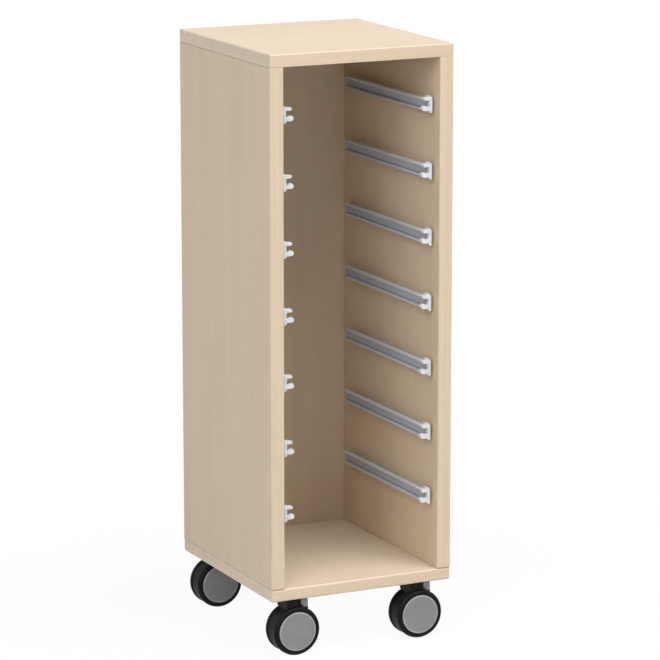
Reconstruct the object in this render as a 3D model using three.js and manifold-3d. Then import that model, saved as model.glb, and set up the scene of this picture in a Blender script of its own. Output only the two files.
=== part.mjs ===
// Classroom tray storage unit: an open-fronted cabinet of thick boards with seven pairs of tray
// runners inside, standing on four swivel twin-wheel casters.
// Millimetres, +Z up. The origin is on the floor under the middle of the cabinet, the open front
// faces -Y and +X is to the right of someone who looks into the front.

import * as THREE from 'three';
import { mergeVertices } from 'three/addons/utils/BufferGeometryUtils.js';
import Module from 'manifold-3d';

const wasm = await Module();
wasm.setup();

// Cabinet boards
const CABINET_WIDTH = 400;
const CABINET_DEPTH = 434;
const CABINET_HEIGHT = 1095; // from the underside of the base panel to the top face
const SIDE_THICKNESS = 30;
const TOP_THICKNESS = 26;
const BASE_THICKNESS = 26;
const BACK_THICKNESS = 5;
const BACK_REBATE = 10; // how far the back panel reaches into each board round it
const SEAM = 0.3; // hairline left where two pieces meet

// Tray runners: a C channel for the tray's rim, standing off the wall on a hollow spine
const RUNNER_PAIRS = 7;
const LOWEST_RUNNER = 148; // from the cabinet floor to the middle of the lowest channel
const TOP_RUNNER_ROOM = 97; // from the middle of the highest channel to the cabinet's ceiling
const RUNNER_HEIGHT = 24;
const RUNNER_WALL = 2;
const RUNNER_LIP = 8.5; // how far the two lips stand out from the web
const SPINE_DEPTH = 11.5; // from the wall to the back of the web
const SPINE_INSET = 4; // how far the spine stays inside the channel's top and bottom
const RUNNER_REAR_GAP = 38; // from the runner's rear end to the back panel

// Clips at the front ends of the runners
const CLIP_SETBACK = 18; // from the cabinet's front to the clip's front
const CLIP_DEPTH = 11;
const CLIP_BAR = 6; // width of the upright bar
const CLIP_RISE = 3.2; // how far the clip stands above the channel
const CLIP_TAIL = 4.2; // how far its tail hangs below the channel
const TAIL_THICKNESS = 3;
const WING_REACH = 12; // from the bar to the tip of the top wing
const WING_THICKNESS = 6.4;
const WING_ROUND = 2.5;
const LEDGE_THICKNESS = 8.4;
const BEAD_RADIUS = 5.2;
const BEAD_REACH = 16; // from the bar to the tip of the stop bead
const TONGUE_LENGTH = 15; // how far the clip plugs into the runner's spine
const PRONG_LENGTH = 10; // how far its prong lies back over the channel's top
const PRONG_RISE = 2; // how far the prong stands above the rest of the clip

// Casters
const STEM_INSET_LEFT = 80.5; // from the cabinet's left side to the swivel axis
const STEM_INSET_RIGHT = 44.5; // from its right side, because the parked wheels trail to the left
const CASTER_INSET_Y = 29; // from the cabinet's front or rear to the middle of the caster
const TRAIL = 21; // from the swivel axis to the axle
const WHEEL_RADIUS = 50;
const WHEEL_HEADROOM = 17; // from the top of the wheels to the underside of the base panel
const WHEEL_WIDTH = 13;
const WHEEL_SHOULDER = 7.3; // depth of the rounded shoulder on the wheel's outer side
const INNER_CHAMFER = 1.5;
const WHEEL_GAP = 26; // between the two wheels of a caster
const RIM_WIDTH = 10; // from the edge of the hub disc to the tread
const RIM_LAND = 2; // flat part of the rim, beside the hub disc
const RIM_STEP = 0.4; // how far the rim stays behind the hub disc's face
const HUB_THICKNESS = 2.9;
const HUB_CHAMFER = 0.8;
const AXLE_RADIUS = 4;
const AXLE_BOSS_WALL = 9;
const BODY_INSET = 1.5; // how far the swivel body stays inside the tread
const BODY_TOE_ANGLE = 238; // where the body's round edge ends, in degrees about the axle
const BOSS_ANGLES = [250, 325]; // the part of the axle boss that shows below the body
const HOOD_REACH = 23; // from the axle to the outer end of the hood over the wheels
const HOOD_OVERLAP = 4; // how far its inner end goes past the axle
const HOOD_WIDTH = 44;
const HOOD_CLEARANCE = 1.5; // between the hood and the wheels under it
const HOOD_HEADROOM = 2; // from the hood's top to the base panel
const SHANK_RADIUS = 6;
const SHANK_COVER = 6; // board left above the stem's shank
const COLLAR_LENGTH = 23; // how far the stem's collar hangs below the base panel
const COLLAR_CLEARANCE = 1; // from the collar to the wheels beside it
const PIVOT_RADIUS = 4;
const PIVOT_LENGTH = 25;
const SOCKET_FLOOR = 5; // plastic left under the stem's pivot
const CHEEK_CLEARANCE = 2.5; // from the collar to the swivel body beside it
const RUNNING_GAP = 0.3; // between a turning piece and what carries it
const WHEEL_SIDES = 36;
const SMALL_SIDES = 20;
const BODY_STEPS = 10; // straight pieces in each round stretch of the swivel body
const BEAD_STEPS = 10;
const WING_STEPS = 3;

// Heights and half sizes that follow from the sizes above
const baseUnderside = 2 * WHEEL_RADIUS + WHEEL_HEADROOM;
const cabinetFloor = baseUnderside + BASE_THICKNESS;
const cabinetTop = baseUnderside + CABINET_HEIGHT;
const cabinetCeiling = cabinetTop - TOP_THICKNESS;
const frontY = -CABINET_DEPTH / 2;
const rearY = CABINET_DEPTH / 2;
const backPanelFront = rearY - BACK_THICKNESS;
const wallX = CABINET_WIDTH / 2 - SIDE_THICKNESS;
const lowestRunnerZ = cabinetFloor + LOWEST_RUNNER;
const runnerPitch = (cabinetCeiling - TOP_RUNNER_ROOM - lowestRunnerZ) / (RUNNER_PAIRS - 1);
const webFace = SPINE_DEPTH + RUNNER_WALL; // inner face of the channel's web, from the wall
const clipFront = frontY + CLIP_SETBACK;
const runnerFront = clipFront + CLIP_DEPTH + SEAM;
const runnerRear = backPanelFront - RUNNER_REAR_GAP;
const spineHalf = RUNNER_HEIGHT / 2 - SPINE_INSET;
const shankLength = BASE_THICKNESS - SHANK_COVER;
const hubRadius = WHEEL_RADIUS - RIM_WIDTH;

const BOARD = { color: 0xe6d3ba, roughness: 0.55, metalness: 0 };
const ALUMINIUM = { color: 0x9a9da2, roughness: 0.35, metalness: 0.9 };
const WHITE_PLASTIC = { color: 0xe4e7eb, roughness: 0.4, metalness: 0 };
const BLACK_PLASTIC = { color: 0x242424, roughness: 0.5, metalness: 0 };
const BLACK_TREAD = { color: 0x2b2b2b, roughness: 0.65, metalness: 0 };
const GREY_PLASTIC = { color: 0x8b8b8b, roughness: 0.45, metalness: 0 };
const STEEL = { color: 0xa8adb3, roughness: 0.3, metalness: 1 };

const unit = new THREE.Group();

// A named piece with its own material
function addPiece(group, name, geometry, finish) {
  const mesh = new THREE.Mesh(geometry, new THREE.MeshStandardMaterial(finish));
  mesh.name = name;
  group.add(mesh);
  return mesh;
}

// Closed mesh to solid, for joining and cutting
function toSolid(geometry) {
  const bare = geometry.clone();
  bare.deleteAttribute('normal');
  bare.deleteAttribute('uv');
  const merged = mergeVertices(bare);
  const vertProperties = new Float32Array(merged.attributes.position.array);
  const triVerts = new Uint32Array(merged.index.array);
  return new wasm.Manifold(new wasm.Mesh({ numProp: 3, vertProperties, triVerts }));
}

function toGeometry(solid) {
  const mesh = solid.getMesh();
  const geometry = new THREE.BufferGeometry();
  geometry.setAttribute('position', new THREE.BufferAttribute(mesh.vertProperties, 3));
  geometry.setIndex(new THREE.BufferAttribute(mesh.triVerts, 1));
  geometry.computeVertexNormals();
  return geometry;
}

// Box between two corners
function boxBetween(low, high) {
  const size = high.map((value, axis) => value - low[axis]);
  const middle = high.map((value, axis) => (value + low[axis]) / 2);
  return new THREE.BoxGeometry(...size).translate(...middle);
}

// Solid of an outline drawn in X and Z, running from y = front to y = rear
function prismAlongY(shape, front, rear, curveSegments = 1) {
  const settings = { depth: rear - front, bevelEnabled: false, curveSegments };
  return new THREE.ExtrudeGeometry(shape, settings).rotateX(Math.PI / 2).translate(0, rear, 0);
}

// Corner radius of a many-sided circle whose flats touch the true radius
function flatsRadius(radius, sides) {
  return radius / Math.cos(Math.PI / sides);
}

// Solid of revolution about Y from [radius, y] pairs, turned so that flats face down and up
function turnedAboutY(profile, sides) {
  const points = profile.map(([radius, y]) => new THREE.Vector2(radius, y));
  return new THREE.LatheGeometry(points, sides).rotateY(Math.PI / sides);
}

// Cabinet boards. The rebate for the back panel is cut into the rear edge of each.
const backPanelHalf = wallX + BACK_REBATE;
const rebate = toSolid(boxBetween(
  [-backPanelHalf - SEAM, backPanelFront - SEAM, cabinetFloor - BACK_REBATE - SEAM],
  [backPanelHalf + SEAM, rearY + BACK_THICKNESS, cabinetCeiling + BACK_REBATE + SEAM],
));

function addBoard(name, low, high, cuts) {
  let solid = toSolid(boxBetween(low, high));
  for (const cut of cuts) {
    solid = solid.subtract(cut);
  }
  addPiece(unit, name, toGeometry(solid), BOARD);
}

const casterNames = [];
const casterAxes = {};
for (const [rowName, rowSign] of [['front', -1], ['back', 1]]) {
  for (const [columnName, columnSign] of [['left', -1], ['right', 1]]) {
    const name = `${rowName}_${columnName}`;
    casterNames.push(name);
    const inset = columnSign < 0 ? STEM_INSET_LEFT : STEM_INSET_RIGHT;
    casterAxes[name] = [
      columnSign * (CABINET_WIDTH / 2 - inset),
      rowSign * (CABINET_DEPTH / 2 - CASTER_INSET_Y),
    ];
  }
}

const stemHoles = casterNames.map((name) => {
  const radius = flatsRadius(SHANK_RADIUS + RUNNING_GAP, SMALL_SIDES);
  const depth = shankLength + SEAM;
  const [x, y] = casterAxes[name];
  const hole = new THREE.CylinderGeometry(radius, radius, 2 * depth, SMALL_SIDES).rotateX(Math.PI / 2);
  return toSolid(hole.translate(x, y, baseUnderside));
});

addBoard(
  'top_panel',
  [-CABINET_WIDTH / 2, frontY, cabinetCeiling],
  [CABINET_WIDTH / 2, rearY, cabinetTop],
  [rebate],
);
addBoard(
  'base_panel',
  [-CABINET_WIDTH / 2, frontY, baseUnderside],
  [CABINET_WIDTH / 2, rearY, cabinetFloor],
  [rebate, ...stemHoles],
);
addBoard(
  'left_side',
  [-CABINET_WIDTH / 2, frontY, cabinetFloor + SEAM],
  [-wallX, rearY, cabinetCeiling - SEAM],
  [rebate],
);
addBoard(
  'right_side',
  [wallX, frontY, cabinetFloor + SEAM],
  [CABINET_WIDTH / 2, rearY, cabinetCeiling - SEAM],
  [rebate],
);
addPiece(
  unit,
  'back_panel',
  boxBetween(
    [-backPanelHalf, backPanelFront, cabinetFloor - BACK_REBATE],
    [backPanelHalf, rearY, cabinetCeiling + BACK_REBATE],
  ),
  BOARD,
);

// Outline from [distance from the wall, height] pairs; inward is +1 on the left wall, -1 on the right.
// The mirrored one is reversed, so that both run the same way round.
function wallOutline(pairs, inward) {
  const points = pairs.map(([u, z]) => new THREE.Vector2(inward * u, z));
  return new THREE.Shape(inward > 0 ? points : points.reverse());
}

function runnerGeometry(inward) {
  const half = RUNNER_HEIGHT / 2;
  const tip = webFace + RUNNER_LIP;
  const section = wallOutline([
    [SEAM, -spineHalf], [SPINE_DEPTH, -spineHalf], [SPINE_DEPTH, -half], [tip, -half],
    [tip, RUNNER_WALL - half], [webFace, RUNNER_WALL - half], [webFace, half - RUNNER_WALL],
    [tip, half - RUNNER_WALL], [tip, half], [SPINE_DEPTH, half], [SPINE_DEPTH, spineHalf],
    [SEAM, spineHalf],
  ], inward);
  const hollow = wallOutline([
    [SEAM + RUNNER_WALL, RUNNER_WALL - spineHalf], [SPINE_DEPTH, RUNNER_WALL - spineHalf],
    [SPINE_DEPTH, spineHalf - RUNNER_WALL], [SEAM + RUNNER_WALL, spineHalf - RUNNER_WALL],
  ], inward);
  section.holes.push(hollow);
  return prismAlongY(section, runnerFront, runnerRear);
}

function clipGeometry(inward) {
  const half = RUNNER_HEIGHT / 2;
  const top = half + CLIP_RISE;
  const outer = webFace - CLIP_BAR;
  const wingTip = webFace + WING_REACH;
  const wingUnderside = top - WING_THICKNESS;
  const ledgeTop = LEDGE_THICKNESS - half;
  const beadU = webFace + BEAD_REACH - BEAD_RADIUS;
  const beadZ = BEAD_RADIUS - half;

  // The mouth: bar, top wing with a rounded tip, and a ledge that ends in the stop bead
  const mouth = new THREE.Shape();
  mouth.moveTo(inward * outer, -half);
  mouth.lineTo(inward * beadU, -half);
  // Round the bead from its underside, over its tip, to where it meets the top of the ledge
  const ledgeAngle = Math.PI + Math.asin((beadZ - ledgeTop) / BEAD_RADIUS);
  const start = -Math.PI / 2;
  for (let i = 1; i <= BEAD_STEPS; i += 1) {
    const angle = start + (ledgeAngle - start) * i / BEAD_STEPS;
    mouth.lineTo(inward * (beadU + BEAD_RADIUS * Math.cos(angle)), beadZ + BEAD_RADIUS * Math.sin(angle));
  }
  mouth.lineTo(inward * webFace, ledgeTop);
  mouth.lineTo(inward * webFace, wingUnderside);
  mouth.lineTo(inward * (wingTip - WING_ROUND), wingUnderside);
  mouth.quadraticCurveTo(
    inward * wingTip, wingUnderside, inward * wingTip, wingUnderside + WING_ROUND,
  );
  mouth.lineTo(inward * wingTip, top - WING_ROUND);
  mouth.quadraticCurveTo(inward * wingTip, top, inward * (wingTip - WING_ROUND), top);
  mouth.lineTo(inward * outer, top);
  mouth.closePath();

  const rear = clipFront + CLIP_DEPTH;
  const inOrder = (a, b) => [Math.min(a, b), Math.max(a, b)];
  const barX = inOrder(inward * outer, inward * webFace);
  const tail = boxBetween(
    [barX[0], clipFront, -half - CLIP_TAIL],
    [barX[1], clipFront + TAIL_THICKNESS, ledgeTop],
  );
  // The tongue fits the hollow of the runner's spine
  const tongueHalf = spineHalf - RUNNER_WALL - RUNNING_GAP;
  const tongueX = inOrder(inward * outer, inward * (SPINE_DEPTH - RUNNING_GAP));
  const tongue = boxBetween(
    [tongueX[0], clipFront + CLIP_DEPTH / 2, -tongueHalf],
    [tongueX[1], rear + TONGUE_LENGTH, tongueHalf],
  );
  const prong = boxBetween(
    [barX[0], clipFront + CLIP_DEPTH / 2, half + SEAM],
    [barX[1], rear + PRONG_LENGTH, top + PRONG_RISE],
  );
  const solid = toSolid(prismAlongY(mouth, clipFront, rear, WING_STEPS))
    .add(toSolid(tail))
    .add(toSolid(tongue))
    .add(toSolid(prong));
  return toGeometry(solid);
}

for (const [sideName, inward] of [['left', 1], ['right', -1]]) {
  const runner = runnerGeometry(inward);
  const clip = clipGeometry(inward);
  for (let i = 0; i < RUNNER_PAIRS; i += 1) {
    const level = new THREE.Group();
    level.position.set(-inward * wallX, 0, lowestRunnerZ + i * runnerPitch);
    addPiece(level, `${sideName}_runner_${i + 1}`, runner, ALUMINIUM);
    addPiece(level, `${sideName}_clip_${i + 1}`, clip, WHITE_PLASTIC);
    unit.add(level);
  }
}

// Casters, each drawn about its swivel axis with z = 0 at the underside of the base panel
const axleHeight = WHEEL_RADIUS - baseUnderside;
const collarRadius = WHEEL_GAP / 2 - COLLAR_CLEARANCE;
const collarEnd = -COLLAR_LENGTH;
const pivotEnd = collarEnd - PIVOT_LENGTH;
const towerTop = collarEnd - RUNNING_GAP;

function stemGeometry() {
  const profile = [
    [0, pivotEnd], [PIVOT_RADIUS, pivotEnd], [PIVOT_RADIUS, collarEnd], [collarRadius, collarEnd],
    [collarRadius, -SEAM], [SHANK_RADIUS, -SEAM], [SHANK_RADIUS, shankLength], [0, shankLength],
  ];
  return turnedAboutY(profile, SMALL_SIDES).rotateX(Math.PI / 2);
}

// Block over the wheels with a flat top and an underside that is round about the axle
function hoodSolid(undersideRadius, halfWidth) {
  const outerEnd = Math.acos(-HOOD_REACH / undersideRadius);
  const innerEnd = Math.acos(HOOD_OVERLAP / undersideRadius);
  const outline = new THREE.Shape();
  outline.moveTo(HOOD_OVERLAP - TRAIL, -HOOD_HEADROOM);
  outline.lineTo(-TRAIL - HOOD_REACH, -HOOD_HEADROOM);
  outline.absarc(-TRAIL, axleHeight, undersideRadius, outerEnd, innerEnd, true);
  outline.closePath();
  return toSolid(prismAlongY(outline, -halfWidth, halfWidth, BODY_STEPS));
}

function swivelBodyGeometry() {
  const halfThickness = WHEEL_GAP / 2 - 2 * RUNNING_GAP;
  const cheek = -collarRadius - CHEEK_CLEARANCE;
  const socketFloor = pivotEnd - RUNNING_GAP;
  const towerFoot = socketFloor - SOCKET_FLOOR;
  const towerHeight = towerTop - towerFoot;
  const bodyRadius = WHEEL_RADIUS - BODY_INSET;
  const shoulder = Math.acos((TRAIL + cheek) / bodyRadius);
  const toe = THREE.MathUtils.degToRad(BODY_TOE_ANGLE);
  const [bossFrom, bossTo] = BOSS_ANGLES.map(THREE.MathUtils.degToRad);

  // Plate between the wheels: beside the tower, round the tread, and under the axle boss
  const outline = new THREE.Shape();
  outline.moveTo(0, towerFoot);
  outline.lineTo(0, towerTop);
  outline.lineTo(cheek, towerTop);
  outline.absarc(-TRAIL, axleHeight, bodyRadius, shoulder, toe, false);
  outline.absarc(-TRAIL, axleHeight, AXLE_RADIUS + AXLE_BOSS_WALL, bossFrom, bossTo, false);
  outline.closePath();

  const plate = toSolid(prismAlongY(outline, -halfThickness, halfThickness, BODY_STEPS));
  // Round tower that takes the stem's pivot
  const tower = new THREE.CylinderGeometry(halfThickness, halfThickness, towerHeight, SMALL_SIDES)
    .rotateX(Math.PI / 2)
    .translate(0, 0, towerFoot + towerHeight / 2);
  const axleHalf = WHEEL_GAP / 2 + WHEEL_WIDTH - HUB_THICKNESS - 2 * RUNNING_GAP;
  const axle = turnedAboutY(
    [[0, -axleHalf], [AXLE_RADIUS, -axleHalf], [AXLE_RADIUS, axleHalf], [0, axleHalf]],
    SMALL_SIDES,
  ).translate(-TRAIL, 0, axleHeight);
  const radius = flatsRadius(PIVOT_RADIUS + RUNNING_GAP, SMALL_SIDES);
  const depth = towerTop - socketFloor;
  const socket = new THREE.CylinderGeometry(radius, radius, 2 * depth, SMALL_SIDES)
    .rotateX(Math.PI / 2)
    .translate(0, 0, towerTop);
  const hood = hoodSolid(WHEEL_RADIUS + HOOD_CLEARANCE, HOOD_WIDTH / 2)
    .add(hoodSolid(bodyRadius - BODY_INSET, halfThickness));
  const body = plate.add(toSolid(tower)).add(toSolid(axle)).add(hood);
  return toGeometry(body.subtract(toSolid(socket)));
}

// A wheel with its outer side towards +Y, its inner side at y = 0
function wheelGeometry() {
  const bore = flatsRadius(AXLE_RADIUS + RUNNING_GAP, WHEEL_SIDES);
  const tread = flatsRadius(WHEEL_RADIUS, WHEEL_SIDES);
  const recess = hubRadius + RUNNING_GAP;
  const rimFace = WHEEL_WIDTH - RIM_STEP;
  const shoulderStart = WHEEL_WIDTH - WHEEL_SHOULDER;
  const recessFloor = WHEEL_WIDTH - HUB_THICKNESS - RUNNING_GAP;
  const rimWall = recess + RIM_LAND;
  const shoulderMiddle = [(tread + rimWall) / 2, rimFace - WHEEL_SHOULDER / 4];
  const profile = [
    [bore, 0], [tread - INNER_CHAMFER, 0], [tread, INNER_CHAMFER], [tread, shoulderStart],
    shoulderMiddle, [rimWall, rimFace], [recess, rimFace], [recess, recessFloor],
    [bore, recessFloor], [bore, 0],
  ];
  return turnedAboutY(profile, WHEEL_SIDES);
}

function hubGeometry() {
  const back = WHEEL_WIDTH - HUB_THICKNESS;
  const profile = [
    [0, back], [hubRadius, back], [hubRadius, WHEEL_WIDTH - HUB_CHAMFER],
    [hubRadius - HUB_CHAMFER, WHEEL_WIDTH], [0, WHEEL_WIDTH],
  ];
  return turnedAboutY(profile, WHEEL_SIDES);
}

const stem = stemGeometry();
const swivelBody = swivelBodyGeometry();
const wheel = wheelGeometry();
const hub = hubGeometry();

for (const name of casterNames) {
  const caster = new THREE.Group();
  caster.position.set(...casterAxes[name], baseUnderside);
  addPiece(caster, `${name}_caster_stem`, stem, STEEL);
  addPiece(caster, `${name}_caster_body`, swivelBody, BLACK_PLASTIC);
  for (const [wheelName, turn, sign] of [['near', Math.PI, -1], ['far', 0, 1]]) {
    const wheelGroup = new THREE.Group();
    wheelGroup.position.set(-TRAIL, sign * WHEEL_GAP / 2, axleHeight);
    wheelGroup.rotation.x = turn;
    addPiece(wheelGroup, `${name}_wheel_${wheelName}`, wheel, BLACK_TREAD);
    addPiece(wheelGroup, `${name}_hub_${wheelName}`, hub, GREY_PLASTIC);
    caster.add(wheelGroup);
  }
  unit.add(caster);
}

export default unit;
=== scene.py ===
"""Looks of the tray storage unit: pale laminated boards with rounded edging, brushed runners with
white end clips, and four hooded twin-wheel casters. Metres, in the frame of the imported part."""

import math

import bmesh
import bpy
from mathutils import Matrix, Vector


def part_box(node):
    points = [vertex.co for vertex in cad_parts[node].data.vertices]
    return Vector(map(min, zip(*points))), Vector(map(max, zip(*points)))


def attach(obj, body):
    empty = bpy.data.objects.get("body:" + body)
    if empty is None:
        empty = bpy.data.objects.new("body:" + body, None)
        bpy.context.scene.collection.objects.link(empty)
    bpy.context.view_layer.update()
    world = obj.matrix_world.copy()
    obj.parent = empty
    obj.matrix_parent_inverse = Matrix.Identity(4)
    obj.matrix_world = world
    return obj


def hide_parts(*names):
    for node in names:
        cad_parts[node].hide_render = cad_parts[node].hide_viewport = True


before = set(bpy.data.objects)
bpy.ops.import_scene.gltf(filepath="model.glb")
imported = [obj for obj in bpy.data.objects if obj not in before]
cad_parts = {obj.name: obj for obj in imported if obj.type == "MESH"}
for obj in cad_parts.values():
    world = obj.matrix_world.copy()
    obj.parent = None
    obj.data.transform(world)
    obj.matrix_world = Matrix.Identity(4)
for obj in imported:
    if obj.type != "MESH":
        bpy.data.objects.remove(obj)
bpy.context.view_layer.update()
MM = 0.001
X_AXIS, Y_AXIS, Z_AXIS = 0, 1, 2


# Finishes

class Value:
    """An output socket. Arithmetic on it adds Math nodes."""

    def __init__(self, finish, node, socket):
        self.finish = finish
        self.node = node
        self.socket = socket

    def out(self, name):
        return Value(self.finish, self.node, self.node.outputs[name])

    def _math(self, operation, first, second):
        return self.finish.add("ShaderNodeMath", {"operation": operation}, {0: first, 1: second})

    def __add__(self, other):
        return self._math("ADD", self, other)

    def __radd__(self, other):
        return self._math("ADD", other, self)

    def __sub__(self, other):
        return self._math("SUBTRACT", self, other)

    def __rsub__(self, other):
        return self._math("SUBTRACT", other, self)

    def __mul__(self, other):
        return self._math("MULTIPLY", self, other)

    def __rmul__(self, other):
        return self._math("MULTIPLY", other, self)


class Finish:
    """A material, or the world, and the nodes that make it."""

    def __init__(self, owner):
        self.owner = owner
        owner.use_nodes = True
        self.tree = owner.node_tree
        self.tree.nodes.clear()

    def add(self, kind, settings=None, inputs=None):
        """A node: first its settings, then a value or a link for each input."""
        node = self.tree.nodes.new(kind)
        for key, value in (settings or {}).items():
            setattr(node, key, value)
        for key, value in (inputs or {}).items():
            if isinstance(key, int):
                socket = node.inputs[key]
            else:
                socket = next(s for s in node.inputs if key in (s.identifier, s.name))
            if isinstance(value, Value):
                self.tree.links.new(value.socket, socket)
            else:
                socket.default_value = value
        return Value(self, node, node.outputs[0] if node.outputs else None)

    def stretched(self, scale):
        place = self.add("ShaderNodeTexCoord").out("Object")
        return self.add("ShaderNodeVectorMath", {"operation": "MULTIPLY"}, {0: place, 1: scale})

    def noise(self, scale, detail=2.0, roughness=0.5, distortion=0.0):
        """Noise from 0 to 1, with a scale along each axis in repeats per metre."""
        return self.add("ShaderNodeTexNoise", {}, {
            "Vector": self.stretched(scale), "Scale": 1.0, "Detail": detail,
            "Roughness": roughness, "Distortion": distortion})

    def ramp(self, value, low, high):
        """0 below low, 1 above high."""
        return self.add("ShaderNodeMapRange", {"interpolation_type": "SMOOTHSTEP"}, {
            "Value": value, "From Min": low, "From Max": high, "To Min": 0.0, "To Max": 1.0})

    def mix(self, factor, first, second):
        mixed = self.add("ShaderNodeMix", {"data_type": "RGBA"}, {
            "Factor_Float": factor, "A_Color": first, "B_Color": second})
        return Value(self, mixed.node, next(
            s for s in mixed.node.outputs if s.identifier == "Result_Color"))

    def bump(self, height, depth):
        return self.add("ShaderNodeBump", {}, {
            "Height": height, "Distance": depth, "Strength": 1.0})

    def surface(self, inputs):
        shader = self.add("ShaderNodeBsdfPrincipled", {}, inputs)
        self.add("ShaderNodeOutputMaterial", {}, {"Surface": shader})
        return self.owner

    def seen(self):
        """1 for a ray from the camera, off a shiny surface or through a clear one."""
        rays = self.add("ShaderNodeLightPath")
        return (rays.out("Is Camera Ray") + rays.out("Is Glossy Ray")
                + rays.out("Is Transmission Ray"))


def new_material(name):
    return Finish(bpy.data.materials.new(name))


def tone(red, green, blue):
    return (red, green, blue, 1.0)


def along(axis, across, lengthwise):
    """Scale of a pattern that is stretched along one axis, in repeats per metre."""
    return tuple(lengthwise if i == axis else across for i in range(3))


def even(scale):
    """Scale of a pattern that is the same along all axes."""
    return (scale, scale, scale)


PALE = tone(0.647, 0.518, 0.376)
PALE_LIGHT = tone(0.678, 0.554, 0.412)
PALE_DARK = tone(0.581, 0.449, 0.313)
FLECK = tone(0.458, 0.338, 0.219)
NO_PAINTED_LIGHT = (1.0, 1.0, 1.0)
# Painted light: the floor board inside is painted paler and bluer than the other boards, standing
# in for light the lamps don't bring there.
FLOOR_PAINTED_LIGHT = (1.05, 1.08, 1.13)
BAND_SHARE, FIBRE_SHARE = 0.65, 0.35
EVENNESS = 0.62
DRIFT_SHARE = 0.25
FLECK_SHARE = 0.42


def laminate(name, grain, painted_light=NO_PAINTED_LIGHT):
    """Maple print on board: broad bands, fine fibres and short flecks along the grain. The painted
    light makes a board a little paler than the rest: painted light, for more light on it than the
    lamps give."""
    f = new_material(name)
    pale, light, dark, speck = (
        tone(*(part * share for part, share in zip(colour, painted_light)))
        for colour in (PALE, PALE_LIGHT, PALE_DARK, FLECK))
    bands = f.noise(along(grain, across=26, lengthwise=1.6), detail=3.0, roughness=0.55,
                    distortion=0.35)
    fibres = f.noise(along(grain, across=520, lengthwise=9), detail=3.0, roughness=0.6)
    pores = f.noise(along(grain, across=1150, lengthwise=75), detail=1.0, roughness=0.4)
    drift = f.noise((3.1, 3.1, 2.3), detail=1.0)
    wave = f.ramp(bands * BAND_SHARE + fibres * FIBRE_SHARE, low=0.32, high=0.70)
    colour = f.mix(wave, dark, light)
    colour = f.mix(EVENNESS, colour, pale)
    colour = f.mix(f.ramp(drift, low=0.35, high=0.75) * DRIFT_SHARE, colour, light)
    fleck = f.ramp(pores, low=0.66, high=0.76)
    colour = f.mix(fleck * FLECK_SHARE, colour, speck)
    return f.surface({
        "Base Color": colour,
        "Specular IOR Level": 0.42,
        "Roughness": 0.40 + fibres * 0.14 + fleck * 0.12,
        "Normal": f.bump(fibres * 0.6 - fleck, 0.05 * MM),
    })


STRIP_DARK = tone(0.626, 0.492, 0.358)
STRIP_LIGHT = tone(0.660, 0.525, 0.388)
STRIP_RUBBED = tone(0.700, 0.580, 0.450)
RUBBED_SHARE = 0.05


def edging(name, grain):
    """Solid edge strip in the colour of the board: smoother, with broad faint streaks and
    rubbed spots."""
    f = new_material(name)
    streaks = f.noise(along(grain, across=110, lengthwise=2.5), detail=1.0, roughness=0.4)
    rubbed = f.ramp(f.noise(even(26)), low=0.52, high=0.78)
    skin = f.noise(even(900), detail=1.0)
    colour = f.mix(f.ramp(streaks, low=0.25, high=0.75), STRIP_DARK, STRIP_LIGHT)
    colour = f.mix(rubbed * RUBBED_SHARE, colour, STRIP_RUBBED)
    return f.surface({
        "Base Color": colour,
        "Roughness": 0.24 + skin * 0.06 - rubbed * 0.03,
        "Normal": f.bump(skin, 0.004 * MM),
    })


def glue_line():
    f = new_material("edging_joint")
    grime = f.noise(even(160))
    return f.surface({
        "Base Color": f.mix(grime, tone(0.352, 0.255, 0.172), tone(0.493, 0.378, 0.273)),
        "Roughness": 0.7,
    })


def brushed_aluminium(name, dark, light):
    """Drawn channel: fine lines along its length and a soft anodised sheen."""
    f = new_material(name)
    lines = f.noise(along(Y_AXIS, across=2600, lengthwise=5), roughness=0.7)
    clouds = f.noise((22, 14, 22))
    return f.surface({
        "Base Color": f.mix(f.ramp(lines, low=0.25, high=0.75), dark, light),
        "Metallic": 0.25,
        "Roughness": 0.34 + lines * 0.16 + clouds * 0.08,
        "Normal": f.bump(lines, 0.012 * MM),
    })


PATCH_SCALE = 30
PATCH_SHARE, SKIN_SHARE = 0.7, 0.3


def moulded(name, dark, light, rough, texture, depth, shine=0.5):
    """Moulded plastic: a fine eroded texture with slow changes of tone and gloss."""
    f = new_material(name)
    skin = f.noise(even(texture), roughness=0.6)
    patches = f.noise(even(PATCH_SCALE), detail=3.0, roughness=0.55)
    cast = f.ramp(patches * PATCH_SHARE + skin * SKIN_SHARE, low=0.35, high=0.65)
    return f.surface({
        "Base Color": f.mix(cast, dark, light),
        "Specular IOR Level": shine,
        "Roughness": rough - 0.06 + patches * 0.14,
        "Normal": f.bump(skin, depth),
    })


TREAD_BLACK = tone(0.0045, 0.0042, 0.0043)
TREAD_DUSTY = tone(0.0135, 0.0129, 0.0129)
DUST_SHARE = 0.4


def rolled_tread():
    """Hard black wheel with faint dusty patches."""
    f = new_material("caster_tread")
    skin = f.noise(even(1500), roughness=0.6)
    dust = f.ramp(f.noise(even(70), detail=4.0, roughness=0.65), low=0.50, high=0.78)
    colour = f.mix(dust * DUST_SHARE, TREAD_BLACK, TREAD_DUSTY)
    return f.surface({
        "Base Color": colour,
        "Specular IOR Level": 0.12,
        "Roughness": 0.42 + dust * 0.22 + skin * 0.05,
        "Normal": f.bump(skin, 0.03 * MM),
    })


def turned_steel():
    f = new_material("stem_steel")
    rings = f.noise((60, 60, 2400), detail=1.0)
    smears = f.noise((90, 90, 60), detail=3.0)
    return f.surface({
        "Base Color": f.mix(smears, tone(0.13, 0.14, 0.155), tone(0.26, 0.275, 0.29)),
        "Metallic": 0.9,
        "Roughness": 0.24 + rings * 0.10 + smears * 0.06,
        "Normal": f.bump(rings, 0.01 * MM),
    })


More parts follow.
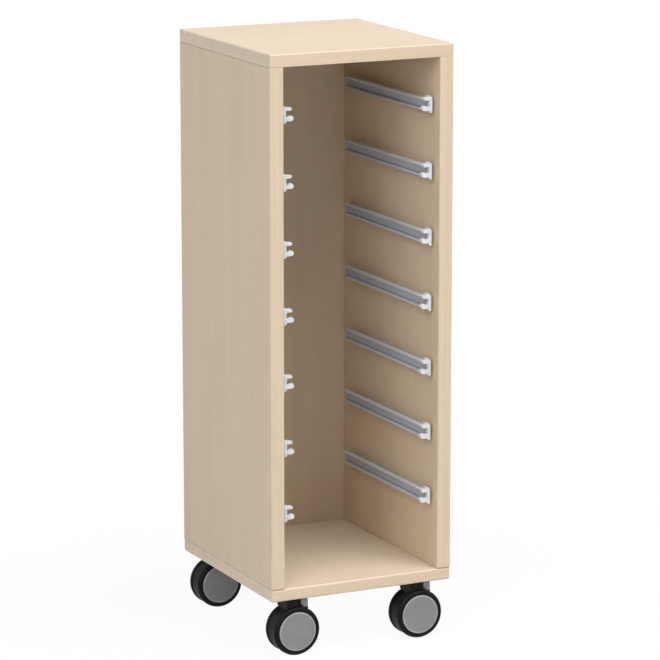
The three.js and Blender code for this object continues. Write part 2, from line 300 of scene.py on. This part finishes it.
upright_board = laminate("board_upright", Z_AXIS)
flat_board = laminate("board_flat", X_AXIS)
# Inner floor: the same laminate with painted light, a paler colour for light the lamps don't
# bring.
floor_board_painted_light = laminate("board_floor_painted_light", X_AXIS, FLOOR_PAINTED_LIGHT)
upright_edge = edging("edging_upright", Z_AXIS)
wide_edge = edging("edging_wide", X_AXIS)
deep_edge = edging("edging_deep", Y_AXIS)
edge_joint = glue_line()
web_aluminium = brushed_aluminium("runner_web", tone(0.43, 0.47, 0.545), tone(0.53, 0.57, 0.65))
# Painted light: the lips are the same aluminium painted lighter, for the light that falls on their
# faces.
lip_aluminium_painted_light = brushed_aluminium("runner_lip_painted_light", tone(0.61, 0.66, 0.75), tone(0.70, 0.75, 0.84))
# Painted shade: the groove above the bottom lip is the same aluminium painted darker, for the
# shade there.
groove_aluminium_painted_shade = brushed_aluminium(
    "runner_groove_painted_shade", tone(0.29, 0.31, 0.35), tone(0.35, 0.37, 0.41))
white_plastic = moulded(
    "clip_white", tone(0.669, 0.691, 0.722), tone(0.722, 0.744, 0.770),
    rough=0.36, texture=1300, depth=0.02 * MM)
grey_disc = moulded(
    "hub_grey", tone(0.196, 0.196, 0.197), tone(0.220, 0.220, 0.221),
    rough=0.42, texture=1700, depth=0.02 * MM)
# Painted highlight: the hub's rounded rim is the same grey painted lighter, for the light its edge
# catches.
disc_rim_painted_highlight = moulded(
    "hub_rim_painted_highlight", tone(0.290, 0.290, 0.295), tone(0.334, 0.334, 0.339),
    rough=0.34, texture=1700, depth=0.02 * MM)
black_plastic = moulded(
    "caster_black", tone(0.0055, 0.0053, 0.0054), tone(0.0090, 0.0088, 0.0088),
    rough=0.50, texture=1500, depth=0.025 * MM, shine=0.09)
black_tread = rolled_tread()
steel = turned_steel()


# Pieces

SMOOTH_ANGLE = math.radians(40)
SHARP_ANGLE = math.radians(35)
FLAT_ANGLE = math.radians(0.5)
WELD = 0.001 * MM
ON_SIDE = 0.01 * MM


def place_piece(name, bm, materials, body, node):
    """A finished mesh as a piece that stands for a CAD node and rides on its body."""
    bmesh.ops.recalc_face_normals(bm, faces=bm.faces)
    mesh = bpy.data.meshes.new(name)
    bm.to_mesh(mesh)
    bm.free()
    for material in materials:
        mesh.materials.append(material)
    mesh.polygons.foreach_set("use_smooth", [True] * len(mesh.polygons))
    mesh.set_sharp_from_angle(angle=SMOOTH_ANGLE)
    piece = bpy.data.objects.new(name, mesh)
    bpy.context.scene.collection.objects.link(piece)
    weighted = piece.modifiers.new("face_weights", "WEIGHTED_NORMAL")
    weighted.keep_sharp = True
    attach(piece, body)
    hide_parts(node)


def solid_of(node):
    """The CAD node's mesh with its flat faces whole again."""
    bm = bmesh.new()
    bm.from_mesh(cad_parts[node].data)
    bmesh.ops.remove_doubles(bm, verts=bm.verts, dist=WELD)
    bmesh.ops.dissolve_limit(bm, angle_limit=FLAT_ANGLE, verts=bm.verts, edges=bm.edges)
    return bm


def round_edges(bm, edges, radius, segments):
    bmesh.ops.bevel(bm, geom=edges, offset=radius, segments=segments, profile=0.5,
                    affect="EDGES", clamp_overlap=True)


def sharp_edges(bm):
    return [e for e in bm.edges if len(e.link_faces) == 2 and e.calc_face_angle() > SHARP_ANGLE]


ALL_SIDES = [(axis, sign) for axis in (X_AXIS, Y_AXIS, Z_AXIS) for sign in (-1, 1)]
LEFT, RIGHT, FRONT, REAR, BOTTOM, TOP = ALL_SIDES
BOARD_ROUND = 3.0 * MM
BASE_ROUND = 5.0 * MM
MEETING_ROUND = 0.8 * MM
STRIP_PAST_ROUND = 0.1 * MM
JOINT_WIDTH = 0.25 * MM
ROUND_SEGMENTS = 4
EASE_SEGMENTS = 2
JOINT_LINE, WIDE_STRIP, DEEP_STRIP = 1, 2, 3


def board(node, face, strips, edged, square=(), radius=BOARD_ROUND):
    """A board with edge strips on its edged sides, each before a thin joint line. Its outer edges
    are rounded, apart from the square ones, given as a side or a pair of sides, that meet another
    board. Those of a whole side are only eased."""
    bm = solid_of(node)
    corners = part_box(node)
    strip_depth = radius + STRIP_PAST_ROUND

    def outside(axis, sign):
        return corners[sign > 0][axis]

    def sides_of(bm_edge):
        return [side for side in ALL_SIDES
                if all(abs(v.co[side[0]] - outside(*side)) < ON_SIDE for v in bm_edge.verts)]

    outer = [e for e in bm.edges if len(sides_of(e)) == 2
             and not any(set(meeting) <= set(sides_of(e)) for meeting in square)]
    round_edges(bm, outer, radius, ROUND_SEGMENTS)
    whole_sides = [meeting[0] for meeting in square if len(meeting) == 1]
    eased = [e for e in sharp_edges(bm) if set(sides_of(e)) & set(whole_sides)]
    round_edges(bm, eased, MEETING_ROUND, EASE_SEGMENTS)
    for axis, sign in edged:
        for depth in (strip_depth, strip_depth + JOINT_WIDTH):
            at, normal = Vector(), Vector()
            at[axis] = outside(axis, sign) - sign * depth
            normal[axis] = 1
            bmesh.ops.bisect_plane(bm, geom=bm.verts[:] + bm.edges[:] + bm.faces[:],
                                   plane_co=at, plane_no=normal)
    for patch in bm.faces:
        middle = patch.calc_center_bounds()
        depths = [(abs(middle[axis] - outside(axis, sign)), axis) for axis, sign in edged]
        depth, axis = min(depths, default=(math.inf, None))
        if depth < strip_depth:
            patch.material_index = DEEP_STRIP if axis == X_AXIS else WIDE_STRIP
        elif depth < strip_depth + JOINT_WIDTH:
            patch.material_index = JOINT_LINE
    place_piece(node + "_board", bm, [face, edge_joint, *strips], "cabinet", node)


board("top_panel", flat_board, [wide_edge, deep_edge], [FRONT, REAR, LEFT, RIGHT], [(BOTTOM,)])
board("base_panel", floor_board_painted_light, [wide_edge, deep_edge], [FRONT, REAR, LEFT, RIGHT],
      [(TOP, LEFT), (TOP, RIGHT), (TOP, REAR)], radius=BASE_ROUND)
board("left_side", upright_board, [upright_edge], [FRONT, REAR], [(BOTTOM,), (TOP,)])
board("right_side", upright_board, [upright_edge], [FRONT, REAR], [(BOTTOM,), (TOP,)])
board("back_panel", upright_board, [], [], [(side,) for side in ALL_SIDES])


CORNER_STEPS = 4


def rounded(corners):
    """Outline with each (distance from the wall, height, radius) corner turned into an arc."""
    outline = []
    count = len(corners)
    for i, (u, z, radius) in enumerate(corners):
        here = Vector((u, z))
        if radius == 0:
            outline.append(here)
            continue
        back = (Vector(corners[i - 1][:2]) - here).normalized()
        ahead = (Vector(corners[(i + 1) % count][:2]) - here).normalized()
        half = back.angle(ahead) / 2
        reach = radius / math.tan(half)
        centre = here + (back + ahead).normalized() * (radius / math.sin(half))
        start = here + back * reach - centre
        turn = start.angle_signed(here + ahead * reach - centre)
        for step in range(CORNER_STEPS + 1):
            outline.append(centre + Matrix.Rotation(-turn * step / CORNER_STEPS, 2) @ start)
    return outline


def extrude_along_y(outlines, wall, inward, height, front, rear):
    """A bar from its outline and its hollows, given as distance from the wall and height."""
    bm = bmesh.new()
    ends = []
    for y in (front, rear):
        rings = [[bm.verts.new((wall + inward * p.x, y, height + p.y)) for p in outline]
                 for outline in outlines]
        rims = [bm.edges.new((ring[i - 1], ring[i])) for ring in rings for i in range(len(ring))]
        bmesh.ops.triangle_fill(bm, use_beauty=True, edges=rims)
        ends.append(rings)
    for near, far in zip(*ends):
        for i in range(len(near)):
            bm.faces.new((near[i - 1], near[i], far[i], far[i - 1]))
    return bm


CHANNEL_HALF = 12 * MM
CHANNEL_WALL = 2 * MM
SPINE_HALF = 8 * MM
WEB_BACK = 11.5 * MM
WEB_FACE = 13.5 * MM
LIP_TIP = 22 * MM
WALL_GAP = 0.3 * MM
STEP = 0.8 * MM
STEP_HEIGHT = 5.5 * MM
GROOVE_DEPTH = 1.2 * MM
GROOVE_HEIGHT = 3.4 * MM
LIP_ROUND = 0.9 * MM
CORNER_ROUND = 0.5 * MM


def runner_outlines():
    """C channel with rounded lips and a stepped web, proud under the top lip and with a groove
    above the bottom lip, on a hollow spine that stands on the wall."""
    lip, small = LIP_ROUND, CORNER_ROUND
    inner = CHANNEL_HALF - CHANNEL_WALL
    leg = SPINE_HALF - CHANNEL_WALL
    outside = [
        (WEB_FACE, STEP_HEIGHT - STEP, 0), (WEB_FACE + STEP, STEP_HEIGHT, 0),
        (WEB_FACE + STEP, inner, small), (LIP_TIP, inner, lip), (LIP_TIP, CHANNEL_HALF, lip),
        (WEB_BACK, CHANNEL_HALF, small), (WEB_BACK, SPINE_HALF, 0), (WALL_GAP, SPINE_HALF, small),
        (WALL_GAP, -SPINE_HALF, small), (WEB_BACK, -SPINE_HALF, 0),
        (WEB_BACK, -CHANNEL_HALF, small), (LIP_TIP, -CHANNEL_HALF, lip), (LIP_TIP, -inner, lip),
        (WEB_FACE - GROOVE_DEPTH, -inner, small),
        (WEB_FACE - GROOVE_DEPTH, GROOVE_HEIGHT - inner - GROOVE_DEPTH, 0),
        (WEB_FACE, GROOVE_HEIGHT - inner, 0),
    ]
    hollow = [(WALL_GAP + CHANNEL_WALL, leg, small), (WALL_GAP + CHANNEL_WALL, -leg, small),
              (WEB_BACK, -leg, small), (WEB_BACK, leg, small)]
    return [rounded(outside), rounded(hollow)]


channel = runner_outlines()
RUNNER_PAIRS = 7
wall_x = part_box("right_side")[0].x
CLIP_ROUND = 0.7 * MM
MOULDING_SEGMENTS = 3
runner_finishes = [web_aluminium, lip_aluminium_painted_light, groove_aluminium_painted_shade]
LIP_PAINTED_LIGHT, GROOVE_PAINTED_SHADE = 1, 2

for side, inward in (("left", 1), ("right", -1)):
    for i in range(1, RUNNER_PAIRS + 1):
        node = f"{side}_runner_{i}"
        low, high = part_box(node)
        level = (low.z + high.z) / 2
        bm = extrude_along_y(channel, -inward * wall_x, inward, level, low.y, high.y)
        for face in bm.faces:
            middle = face.calc_center_median()
            from_wall = wall_x - abs(middle.x)
            inside = abs(middle.z - level) < CHANNEL_HALF - CHANNEL_WALL
            # The lips take the tone with painted light.
            if from_wall > WEB_FACE + STEP / 2:
                face.material_index = LIP_PAINTED_LIGHT
            # The groove takes the tone with painted shade.
            elif WEB_BACK < from_wall < WEB_FACE and inside:
                face.material_index = GROOVE_PAINTED_SHADE
        place_piece(node + "_channel", bm, runner_finishes, "cabinet", node)
        node = f"{side}_clip_{i}"
        bm = solid_of(node)
        round_edges(bm, sharp_edges(bm), CLIP_ROUND, MOULDING_SEGMENTS)
        place_piece(node + "_moulding", bm, [white_plastic], "cabinet", node)


def turned(profile, segments, origin, axis_turn):
    """Solid of revolution from (radius, height) pairs, its axis turned from +Z by the matrix."""
    bm = bmesh.new()
    rings = []
    angles = [2 * math.pi * k / segments for k in range(segments)]
    for radius, height in profile:
        if radius == 0:
            rings.append([bm.verts.new((0, 0, height))])
        else:
            rings.append([bm.verts.new((radius * math.cos(a), radius * math.sin(a), height))
                          for a in angles])
    for low, high in zip(rings, rings[1:]):
        for k in range(segments):
            n = (k + 1) % segments
            if len(low) == 1:
                bm.faces.new((low[0], high[n], high[k]))
            elif len(high) == 1:
                bm.faces.new((low[k], low[n], high[0]))
            else:
                bm.faces.new((low[k], low[n], high[n], high[k]))
    bmesh.ops.remove_doubles(bm, verts=bm.verts, dist=WELD)
    bmesh.ops.transform(bm, matrix=Matrix.Translation(origin) @ axis_turn, verts=bm.verts)
    return bm


def arc(centre, radius, start, end, steps):
    """(radius, height) points round a fillet, angles in degrees."""
    points = []
    for step in range(steps + 1):
        angle = math.radians(start + (end - start) * step / steps)
        points.append((centre[0] + radius * math.cos(angle), centre[1] + radius * math.sin(angle)))
    return points


def millimetres(points):
    return [(radius * MM, height * MM) for radius, height in points]


# Wheel and hub disc, from the wheel's inner side at height 0 to the outer face
WHEEL_PROFILE = millimetres(
    [(4.4, 0.0), (15, 0.0), (15.5, 0.5), (15.5, 2.2), (38, 2.2), (38.5, 1.8), (38.5, 0.5),
     (39, 0.0)]
    + arc((48.4, 1.6), 1.6, -90, 0, 5)
    + [(50.0, 5.1)]
    + arc((43.4, 5.4), 6.6, 0, 62, 10)
    + arc((45.9, 11.8), 0.55, 30, 150, 6)
    + [(44.8, 11.6), (43.9, 11.45), (41.3, 11.85), (40.7, 12.4)]
    + arc((40.5, 12.25), 0.2, 60, 180, 3)
    + [(40.3, 9.8), (4.4, 9.8), (4.4, 0.0)])
HUB_PROFILE = millimetres(
    [(0, 10.1), (39.6, 10.1), (40.0, 10.5), (40.0, 11.5)]
    + arc((39.1, 11.5), 0.9, 0, 50, 5)
    + arc((37.9, 11.2), 1.8, 60, 100, 5)
    + [(36.9, 12.85), (30.0, 12.9), (0, 12.95)])
# Radius beyond which the hub's rounded rim gets the painted highlight.
PAINTED_HIGHLIGHT_RADIUS = 37.2 * MM
WHEEL_SEGMENTS = 96

# Steel stem, from its pivot over its collar up to the top of its shank, with height 0 at the
# underside of the base panel
STEM_PROFILE = millimetres([
    (0, -48), (3.4, -48), (4, -47.4), (4, -23), (11.2, -23), (12, -22.2), (12, -6.2),
    (11.6, -5.8), (11.6, -5.2), (12, -4.8), (12, -1.0), (11.4, -0.3), (6, -0.3), (6, 19.2),
    (5.2, 20), (0, 20)])
STEM_SEGMENTS = 48
BODY_ROUND = 1.6 * MM
WHEEL_GAP_HALF = 13 * MM
TO_NEAR = Matrix.Rotation(math.pi / 2, 4, "X")
TO_FAR = Matrix.Rotation(-math.pi / 2, 4, "X")
UPRIGHT = Matrix.Identity(4)
base_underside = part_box("base_panel")[0].z

for row in ("front", "back"):
    for column in ("left", "right"):
        caster = f"{row}_{column}"
        body = caster + "_caster"
        low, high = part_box(caster + "_caster_stem")
        axis = (low + high) / 2
        axis.z = base_underside
        bm = turned(STEM_PROFILE, STEM_SEGMENTS, axis, UPRIGHT)
        place_piece(caster + "_stem", bm, [steel], "cabinet", caster + "_caster_stem")
        bm = solid_of(caster + "_caster_body")
        round_edges(bm, sharp_edges(bm), BODY_ROUND, MOULDING_SEGMENTS)
        place_piece(caster + "_body", bm, [black_plastic], body,
                    caster + "_caster_body")
        for side, turn, sign in (("near", TO_NEAR, -1), ("far", TO_FAR, 1)):
            wheel_body = f"{caster}_{side}_wheel"
            low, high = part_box(f"{caster}_wheel_{side}")
            hub_centre = (low + high) / 2
            hub_centre.y = axis.y + sign * WHEEL_GAP_HALF
            bm = turned(WHEEL_PROFILE, WHEEL_SEGMENTS, hub_centre, turn)
            place_piece(f"{caster}_tyre_{side}", bm, [black_tread], wheel_body,
                        f"{caster}_wheel_{side}")
            bm = turned(HUB_PROFILE, WHEEL_SEGMENTS, hub_centre, turn)
            for face in bm.faces:
                middle = face.calc_center_median() - hub_centre
                # Faces on the rounded rim get the painted highlight.
                face.material_index = int(math.hypot(middle.x, middle.z) > PAINTED_HIGHLIGHT_RADIUS)
            place_piece(f"{caster}_disc_{side}", bm, [grey_disc, disc_rim_painted_highlight], wheel_body,
                        f"{caster}_hub_{side}")


# Floor, light and camera

WHITE = tone(1, 1, 1)
FLOOR_TONE = tone(0.88, 0.88, 0.88)
FLOOR_HALF = 12.0
WHITE_UNDER_OBJECT, WHITE_GAIN = 0.95, 0.05
SHADOW_REACH = 0.35
WHITE_FROM = 1.1


def pale_floor(name):
    """Pale floor with the object's shadow on it, and plain white to the eye further away."""
    f = new_material(name)
    away = f.add("ShaderNodeVectorMath", {"operation": "LENGTH"}, {
        0: f.add("ShaderNodeTexCoord").out("Object")}).out("Value")
    share = WHITE_UNDER_OBJECT + f.ramp(away, SHADOW_REACH, WHITE_FROM) * WHITE_GAIN
    matt = f.add("ShaderNodeBsdfDiffuse", {}, {"Color": FLOOR_TONE})
    white = f.add("ShaderNodeEmission", {}, {"Color": WHITE, "Strength": 1.0})
    blend = f.add("ShaderNodeMixShader", {}, {0: f.seen() * share, 1: matt, 2: white})
    f.add("ShaderNodeOutputMaterial", {}, {"Surface": blend})
    return f.owner


floor_mesh = bpy.data.meshes.new("studio_floor")
floor_mesh.from_pydata(
    [(-FLOOR_HALF, -FLOOR_HALF, 0), (FLOOR_HALF, -FLOOR_HALF, 0), (FLOOR_HALF, FLOOR_HALF, 0),
     (-FLOOR_HALF, FLOOR_HALF, 0)], [], [(0, 1, 2, 3)])
floor_mesh.materials.append(pale_floor("studio_floor"))
studio_floor = bpy.data.objects.new("studio_floor", floor_mesh)
bpy.context.scene.collection.objects.link(studio_floor)

# White all round for the eye and for reflections, and dark as a light
studio = bpy.data.worlds.new("studio")
bpy.context.scene.world = studio
f = Finish(studio)
white = f.add("ShaderNodeBackground", {}, {"Color": WHITE, "Strength": f.seen()})
f.add("ShaderNodeOutputWorld", {}, {"Surface": white})

LAMP_DISTANCE = 8.0
LAMP_SIZE = 5.0
MIDDLE = Vector((0, 0, 0.65))
UNIT_POWER = math.pi ** 2 * LAMP_DISTANCE ** 2


def toward(azimuth, elevation):
    """Direction from the object to a place round it, azimuth 0 in front, in degrees."""
    a, e = math.radians(azimuth), math.radians(elevation)
    return Vector((math.sin(a) * math.cos(e), -math.cos(a) * math.cos(e), math.sin(e)))


def lamp(name, azimuth, elevation, level):
    """Soft square lamp that faces the middle of the object, at a level of 1 a full light."""
    data = bpy.data.lights.new(name, "AREA")
    data.shape = "SQUARE"
    data.size = LAMP_SIZE
    data.energy = UNIT_POWER * level
    made = bpy.data.objects.new(name, data)
    made.location = MIDDLE + toward(azimuth, elevation) * LAMP_DISTANCE
    made.rotation_euler = toward(azimuth, elevation).to_track_quat("Z", "Y").to_euler()
    bpy.context.scene.collection.objects.link(made)
    return made


lamp("left_lamp", -51, 31, 0.53)
lamp("right_lamp", 60, 16, 0.08)
lamp("top_lamp", 0, 66, 0.43)
lamp("upper_right_lamp", 40, 60, 0.66)
rear_lamp = lamp("rear_lamp", 180, 12, 0.30)
rear_lamp.visible_glossy = False

# The photograph's camera: straight at a point beside the cabinet's middle, no shift
CAMERA_DISTANCE = 7.255
CAMERA_TARGET = Vector((0.0276, -0.0134, 0.6112))
CAMERA_AZIMUTH, CAMERA_ELEVATION = -25.86, 12.14
SENSOR_WIDTH = 36
LENS = 194.8
VIEW_REACH = 100
back = toward(CAMERA_AZIMUTH, CAMERA_ELEVATION)
camera_data = bpy.data.cameras.new("camera")
camera_data.sensor_width = SENSOR_WIDTH
camera_data.lens = LENS
camera_data.clip_end = VIEW_REACH
camera = bpy.data.objects.new("camera", camera_data)
camera.location = CAMERA_TARGET + back * CAMERA_DISTANCE
camera.rotation_euler = back.to_track_quat("Z", "Y").to_euler()
bpy.context.scene.collection.objects.link(camera)
bpy.context.scene.camera = camera
bpy.context.scene.view_settings.view_transform = "Standard"
